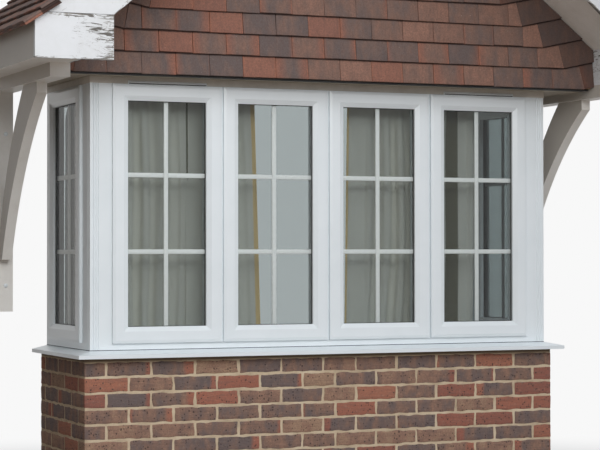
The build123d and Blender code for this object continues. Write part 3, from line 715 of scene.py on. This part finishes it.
# Bolt caps: domed plastic covers, 22 mm across, over the two bolts that hold each bracket post
# to the house wall.
cap_radius, cap_rise, cap_x, cap_heights = 0.011, 0.007, 1.467, (1.258, 2.016)
rings, turns = 5, 20
dome = [(0, -cap_rise, 0)]
for ring in range(1, rings + 1):
    angle = ring / rings * pi / 2
    dome += [(cap_radius * sin(angle) * cos(turn / turns * 2 * pi), -cap_rise * cos(angle),
              cap_radius * sin(angle) * sin(turn / turns * 2 * pi)) for turn in range(turns)]
faces = [(0, 1 + turn, 1 + (turn + 1) % turns) for turn in range(turns)] + net(rings, turns, 1, True)
faces.append(tuple(reversed(range(len(dome) - turns, len(dome)))))
caps = new_pile()
post_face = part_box("bracket_post_left")[0].y
for side in (-1, 1):
    for height in cap_heights:
        add_to(caps, np.array(dome) + (side * cap_x, post_face, height), faces)
place_piece("bracket_bolt_caps", caps, white_pvc, "white_plastic")

# Hung tiles: plain clay tiles, 169 mm wide with 104 mm of each showing, sanded and fired, hung by
# nibs and nails. They break joint, kick out a little at the tail, and near each rake a wide tile
# is tilted up and cut along the slope, with its neighbour cut to meet it.
gable_low, gable_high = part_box("gable_tiles")
tile_gauge, tile_pitch, tile_gap = 0.104, 0.1709, 0.0018
tile_thick, tile_kick, hung_length = 0.0115, 0.013, 0.19
tile_firing = 0.08, 0.45, (-0.4, 0.5)
rake_z = gable_low.z + 0.2045
half_gable = gable_high.x
fold_back, end_tile_width = 0.300, 0.36
narrowest, fold_overlap = 0.075, 0.03
tilt = radians(12)
joint_start = -0.014
hanging = np.random.default_rng(11)


def cut_block(points, faces, planes):
    """Cuts a block along planes, each a point and the direction that is thrown away."""
    work = bmesh.new()
    made = [work.verts.new(p) for p in points]
    for face in faces:
        work.faces.new([made[i] for i in face])
    for point, away in planes:
        cut = bmesh.ops.bisect_plane(work, geom=work.verts[:] + work.edges[:] + work.faces[:],
                                     plane_co=point, plane_no=away, clear_outer=True)
        edges = [item for item in cut["geom_cut"] if isinstance(item, bmesh.types.BMEdge)]
        if edges:
            bmesh.ops.edgeloop_fill(work, edges=edges)
    work.verts.index_update()
    points = np.array([v.co for v in work.verts]).reshape(-1, 3)
    faces = [tuple(v.index for v in face.verts) for face in work.faces]
    work.free()
    return points, faces


def hang_tile(pile, left, right, corner, turn, planes, under_verge=0.0):
    """Hangs a tile from left to right of a corner point on its tail, turned in the gable's plane.
    A point's shelter is how far it lies under the next tails, which rise beyond their own fold."""
    width = right - left
    points, faces = worn_block((0, 0, -tile_thick), (width, hung_length, 0), 0.0015, (0.045, 0.045, 0.1))
    points[:, 2] -= 0.0012 * (2 * points[:, 0] / width - 1) ** 2
    seed = hanging.uniform(0, 50)
    points = roughen(points, 0.05, 0.0010, seed)
    points = roughen(points, 0.012, 0.0004, seed)
    lean = np.arctan2(tile_kick, tile_gauge) + hanging.normal(0, 0.0025)
    own = Matrix.Rotation(hanging.normal(0, 0.0018), 4, "Y")
    stand = Matrix(((1, 0, 0, left), (0, sin(lean), -cos(lean), hanging.uniform(-0.0006, 0.0004)),
                    (0, cos(lean), sin(lean), hanging.uniform(-0.0006, 0.0006)), (0, 0, 0, 1)))
    matrix = Matrix.Translation(corner) @ Matrix.Rotation(turn, 4, "Y") @ own @ stand
    points = moved(points, matrix)
    if planes:
        points, faces = cut_block(points, faces, planes)
    if len(points):
        local = moved(points, matrix.inverted())
        beyond = np.maximum(np.abs(points[:, 0]) - fold + tile_gauge / tan(roof_pitch), 0)
        shelter = tail + tile_gauge + beyond * tan(tilt) - points[:, 2]
        add_to(pile, points, faces, along=2 * local[:, 0] / width - 1, shelter=shelter,
               under_verge=under_verge, **kiln_draw(hanging, *tile_firing))


hung = new_pile()
course = 0
while gable_low.z + course * tile_gauge < gable_high.z - 0.01:
    tail = gable_low.z + course * tile_gauge
    fold = half_gable + (rake_z - tail) / tan(roof_pitch) - fold_back
    edges = []
    for side in (-1, 1):
        out = Vector((side * sin(roof_pitch), 0, cos(roof_pitch)))
        edges.append((Vector((side * half_gable, 0, rake_z)) - out * 0.003, out))
        edges.append((Vector((side * (half_gable - 0.002), 0, 0)), Vector((side, 0, 0))))
    if fold > 0.02:
        shift = joint_start + (course % 2) * tile_pitch / 2
        joints = [shift + n * tile_pitch for n in range(-12, 13)]
        joints = [x for x in joints if abs(x) < fold - narrowest]
        joints = [-fold - fold_overlap] + joints + [fold + fold_overlap]
        for left, right in zip(joints, joints[1:]):
            planes = []
            for side in (-1, 1):
                if (right if side > 0 else -left) > fold - 0.001:
                    along = Vector((side * cos(tilt), 0, sin(tilt)))
                    planes.append((Vector((side * fold, 0, tail)) - along * tile_gap / 2, along))
            planes += edges if tail + hung_length > rake_z else edges[1::2]
            tight = tile_gap * hanging.uniform(0.1, 0.9, 2)
            hang_tile(hung, left + tight[0], right - tight[1], Vector((0, gable_low.y, tail)), 0, planes)
    for side in (-1, 1):
        # the end tile turns about the fold; near the top its own plane keeps it on its side
        own = [(Vector((side * tile_gap / 2, 0, 0)), Vector((-side, 0, 0)))] if fold < 0.1 else []
        ends = sorted((side * tile_gap / 2, side * end_tile_width))
        # painted shade: the end tiles under the verges are darkened, more on the right
        hang_tile(hung, ends[0], ends[1], Vector((side * max(fold, 0.0), gable_low.y, tail)), -side * tilt,
                  own + edges, 0.55 if side > 0 else 0.25)
    course += 1

# Clay tile: fired red-brown with purple-grey fire marks, an orange side on some, a sanded matt
# face with faint drag marks up it, a few pale flecks, and a near-black band painted under each tail
# as painted shadow. The end tiles under the verges are painted darker as painted shade, most of all
# on the right.
fired_tile, add, shader, place = new_finish("fired_clay_sanded_plain_tile")
own_place, cloud, shade, red, chance = fire_marks(add, place, (22, 22, 9), 0.34, 0.22)
along, shelter, under_verge = (add("Attribute", {}, "Fac", attribute_name=name)
                               for name in ("along", "shelter", "under_verge"))
body = add("ValToRGB", (shade,), stops=(
    (0.0, "#6a5f5d"), (0.25, "#77655f"), (0.5, "#856a5f"), (0.75, "#916f61"), (1.0, "#9c7565")))
burnt = add("MULTIPLY", (red, 0.8))
rim_line = add("ABSOLUTE", (along,))
rim_line = add("MapRange", (rim_line, 0.86, 0.97, 0, 0.35))
rim_line = add("MULTIPLY", (rim_line, red))
drag = mottle(add, own_place, (90, 90, 12), 4, 0.6)
smoke = add("MapRange", (drag, 0.48, 0.75, 0, 0.4))
grains = mottle(add, own_place, 140, 3, 0.7, (0.35, 0.65, 0.5, 0.0))
fleck = specks(add, own_place, 0.026, 0.10, 0.5, 0.7)
# painted shadow: the band just under the next tail is darkened to near black
tail_shadow = add("MULTIPLY_ADD", (cloud, -0.008, shelter))
tail_shadow = add("MapRange", (tail_shadow, 0.001, 0.006, 0.9, 0))
body = coats(add, body, (burnt, "#9a6857"), (rim_line, "#b27257"), (smoke, "#67544e"), (grains, "#5b4740"),
             (fleck, "#b5a79b"), (under_verge, "#3f302b"), (tail_shadow, "#2a1c19"))
sand = mottle(add, own_place, 380, 4, 0.65)
crease = add("MULTIPLY_ADD", (drag, 2.0, sand))
set_inputs(shader, {"Base Color": body, "Roughness": 0.85, "Specular IOR Level": 0.3,
                    "Normal": add("Bump", {"Height": crease, "Strength": 0.5, "Distance": 0.001})})
place_piece("gable_hung_tiles", hung, fired_tile, "clay_tile", "gable_tiles")

# Timber inside: sawn whitewood rafters, joists, studs and boarding, left bare.
sawn_wood, add, shader, place = new_finish("whitewood_sawn")
# Sawn softwood is straw-coloured, with darker growth lines along it and a furry sawn face.
fibre = mottle(add, place, (60, 6, 60), 6, 0.6, bent=0.4)
body = add("ValToRGB", (fibre,), stops=((0.3, "#a5814f"), (0.5, "#bf9c6a"), (0.7, "#ccad7d")))
set_inputs(shader, {"Base Color": body, "Roughness": 0.85,
                    "Normal": add("Bump", {"Height": fibre, "Strength": 0.4, "Distance": 0.0008})})
dress(sawn_wood, "roof_timbers", "ceiling_joists", "gable_wall", "roof_boarding")

# Roof tiles: the same plain clay tiles nailed over battens at a 100 mm gauge, in broken bond from
# the eaves to the ridge, with a short course under the first.
roof_gauge, roof_length, roof_pitch_across = 0.100, 0.19, 0.168
roof_lean, roof_tail = 0.12, 0.034
roof_setback, roof_narrowest = 0.001, 0.05
roof_low, roof_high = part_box("roof_tiles_right")
verge_y, eaves_z = roof_low.y, roof_low.z
eaves_x = roof_high.x - roof_tail * sin(roof_pitch)
roof_tiles = new_pile()
for side in (-1, 1):
    # up the slope, along the eaves and off the boarding, to the bay's own directions
    slope_place = Matrix(((0, -side * cos(roof_pitch), side * sin(roof_pitch), side * eaves_x),
                          (1, 0, 0, 0), (0, sin(roof_pitch), cos(roof_pitch), eaves_z), (0, 0, 0, 1)))
    for course in range(-1, int(eaves_x / cos(roof_pitch) / roof_gauge) + 1):
        distance = max(course, 0) * roof_gauge
        rise = roof_tail - (0 if course >= 0 else tile_thick + 0.001)
        length = min(roof_length, eaves_x / cos(roof_pitch) - distance - 0.004)
        joints = [verge_y + roof_setback + (course % 2 / 2 + n) * roof_pitch_across for n in range(10)]
        joints = [y for y in joints if verge_y + roof_narrowest < y < wall_y - roof_narrowest]
        joints = [verge_y + roof_setback] + joints + [wall_y]
        for near, far in zip(joints, joints[1:]):
            width = far - near - tile_gap
            points, faces = worn_block((0, 0, -tile_thick), (width, length, 0), 0.0022, (0.06, 0.07, 0.1))
            across = 2 * points[:, 0] / width - 1
            shelter = roof_gauge - points[:, 1]
            points[:, 2] -= 0.002 * across ** 2
            points = roughen(points, 0.05, 0.001, hanging.uniform(0, 50))
            lean = Matrix(((1, 0, 0, near + tile_gap / 2), (0, 1, 0, distance),
                           (0, -roof_lean, 1, rise + hanging.uniform(-0.0012, 0)), (0, 0, 0, 1)))
            points = moved(moved(points, lean), slope_place)
            points[:, 1] = np.clip(points[:, 1], verge_y, wall_y)
            add_to(roof_tiles, points, faces if side > 0 else faces[:, ::-1], along=across,
                   shelter=shelter, **kiln_draw(hanging, *tile_firing))
place_piece("roof_plain_tiles", roof_tiles, fired_tile, "clay_tile", "roof_tiles_left", "roof_tiles_right")

# Ridge tiles: half-round clay tiles laid end to end on a mortar bed over the top courses, with
# the open end at the verge filled with mortar.
ridge_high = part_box("ridge_tiles")[1]
ridge_radius = ridge_high.x
ridge_z = ridge_high.z - ridge_radius
ridge_thick, ridge_gap = 0.016, 0.004
ridge_count, turns, rows = 4, 28, 5
ridge_tiles = new_pile()
ridge_length = (wall_y - verge_y) / ridge_count
arc = [(cos(pi * n / turns), sin(pi * n / turns)) for n in range(turns + 1)]
# its outline goes over the outer face and comes back under the inner one
outline = [(c * radius, ridge_z + s * radius) for radius, way in (
    (ridge_radius - 0.001, arc[::-1]), (ridge_radius - ridge_thick, arc)) for c, s in way]
per = len(outline)
near_end = [(n, n + 1, per - 2 - n, per - 1 - n) for n in range(turns)]
far_end = [tuple((rows - 1) * per + i for i in reversed(face)) for face in near_end]
faces = net(rows, per, 0, True) + near_end + far_end
for number in range(ridge_count):
    start = verge_y + number * ridge_length + (ridge_gap if number else 0)
    end = verge_y + (number + 1) * ridge_length - (ridge_gap if number < ridge_count - 1 else 0)
    points = np.array([(x, y, z) for y in np.linspace(start, end, rows) for x, z in outline])
    points = roughen(points, 0.08, 0.0008, number)
    points[:, 1] = np.clip(points[:, 1], verge_y, wall_y)
    points[:, 2] = np.minimum(points[:, 2], ridge_high.z)
    add_to(ridge_tiles, points, faces, along=0.0, shelter=1.0, **kiln_draw(hanging, 0.2, 0.0, (0, 0)))
place_piece("roof_ridge_tiles", ridge_tiles, fired_tile, "clay_tile", "ridge_tiles")
# The bed is a saddle under the tiles, from its feet on the top courses up to their undersides.
bed_half = ridge_radius - 0.004
peak = eaves_z + eaves_x * tan(roof_pitch) + 0.012 / cos(roof_pitch)
foot = peak - bed_half * tan(roof_pitch)
profile = [(bed_half, foot), (0, peak), (-bed_half, foot), (-bed_half, ridge_z + 0.004),
           (-0.06, ridge_z + 0.07), (0, ridge_z + 0.092), (0.06, ridge_z + 0.07), (bed_half, ridge_z + 0.004)]
points = [(x, y, z) for y in (verge_y + 0.005, wall_y - end_gap) for x, z in profile]
size = len(profile)
faces = net(2, size, 0, True) + [tuple(range(size)), tuple(reversed(range(size, 2 * size)))]
ridge_mortar = new_pile()
add_to(ridge_mortar, points, faces)
place_piece("roof_ridge_mortar", ridge_mortar, lime_mortar, "clay_tile")

# Floor, light and camera: a plain pale floor that runs into a white backdrop, soft even light from
# all round with two large soft lamps in front and a little to the left, and the camera where the
# photo was taken from. Light that the floor throws back up is brownish, as from paving.
backdrop = "#f8f8f8"


def seen_directly(add):
    """Is 1 for what the camera sees, also in mirrors and through glass, and 0 for what gives light."""
    rays = add("LightPath", {}, None)
    direct = add("MAXIMUM", (rays["Is Camera Ray"], rays["Is Glossy Ray"]))
    return add("MAXIMUM", (direct, rays["Is Transmission Ray"]))


floor_finish, add, shader, place = new_finish("studio_floor_matt_painted")
direct = seen_directly(add)
pale = add("ValToRGB", (mottle(add, place, 0.5, 2),), stops=((0.3, "#e9e9e8"), (0.7, "#ececeb")))
set_inputs(shader, {"Base Color": coats(add, "#9a8d82", (direct, pale)), "Roughness": 0.9,
                    "Specular IOR Level": 0.1})
away = add("VectorMath", (place,), 1, operation="LENGTH")
far_off = add("MapRange", (away, 2.5, 6.0), interpolation_type="SMOOTHSTEP")
far_off = add("MULTIPLY", (far_off, direct))
glow = add("Emission", {"Color": backdrop})
both = add("MixShader", (far_off, shader.outputs[0], glow))
set_inputs(floor_finish.node_tree.nodes["Material Output"], {"Surface": both})
mesh = bpy.data.meshes.new("studio_floor")
mesh.from_pydata([(-60, -40, 0), (60, -40, 0), (60, 80, 0), (-60, 80, 0)], [], [(0, 1, 2, 3)])
mesh.materials.append(floor_finish)
floor = bpy.data.objects.new("studio_floor", mesh)
bpy.context.scene.collection.objects.link(floor)

world = bpy.data.worlds.new("soft_sky")
bpy.context.scene.world = world
world.use_nodes = True
add = partial(add_node, world.node_tree)
heading = add("SeparateXYZ", (add("TexCoord", {}, "Generated"),), None)
front = add("MapRange", (heading[1], -1, 1, 1.15, 0.3))
left = add("MapRange", (heading[0], -0.6, 0.0, 0.08, 1))
risen = add("MapRange", (heading[2], 0.0, 0.17, 0.55, 1))
strength = add("MULTIPLY", (front, left))
strength = add("MULTIPLY", (strength, risen))
sky = world.node_tree.nodes["Background"]
set_inputs(sky, {"Color": "#f3f8ff", "Strength": strength})
white = add("Background", {"Color": backdrop, "Strength": 1.0})
both = add("MixShader", (seen_directly(add), sky.outputs[0], white))
set_inputs(world.node_tree.nodes["World Output"], {"Surface": both})

for name, place, aim, size, watts in (
        ("high_soft_lamp", (-1.7, -4.4, 4.7), (0, 0, 1.6), (2.6, 2.0), 62),
        ("low_soft_lamp", (-1.5, -4.7, 3.3), (0, 0, 1.2), (3.0, 0.9), 72)):
    lamp_data = bpy.data.lights.new(name, "AREA")
    lamp_data.shape = "RECTANGLE"
    lamp_data.size, lamp_data.size_y = size
    lamp_data.energy = watts
    lamp = bpy.data.objects.new(name, lamp_data)
    lamp.location = place
    lamp.rotation_euler = (Vector(aim) - lamp.location).to_track_quat("-Z", "Y").to_euler()
    bpy.context.scene.collection.objects.link(lamp)

camera_data = bpy.data.cameras.new("photo_camera")
camera_data.lens = 120.115
camera_data.sensor_width = 36
camera_data.clip_end = 300
camera = bpy.data.objects.new("photo_camera", camera_data)
camera.matrix_world = (Matrix.Translation((-4.06796, -9.12806, 1.41093))
                       @ Matrix.Rotation(radians(-23.26), 4, "Z")
                       @ Matrix.Rotation(radians(90.85), 4, "X") @ Matrix.Rotation(radians(-0.06), 4, "Z"))
bpy.context.scene.collection.objects.link(camera)
bpy.context.scene.camera = camera
bpy.context.scene.view_settings.view_transform = "Standard"
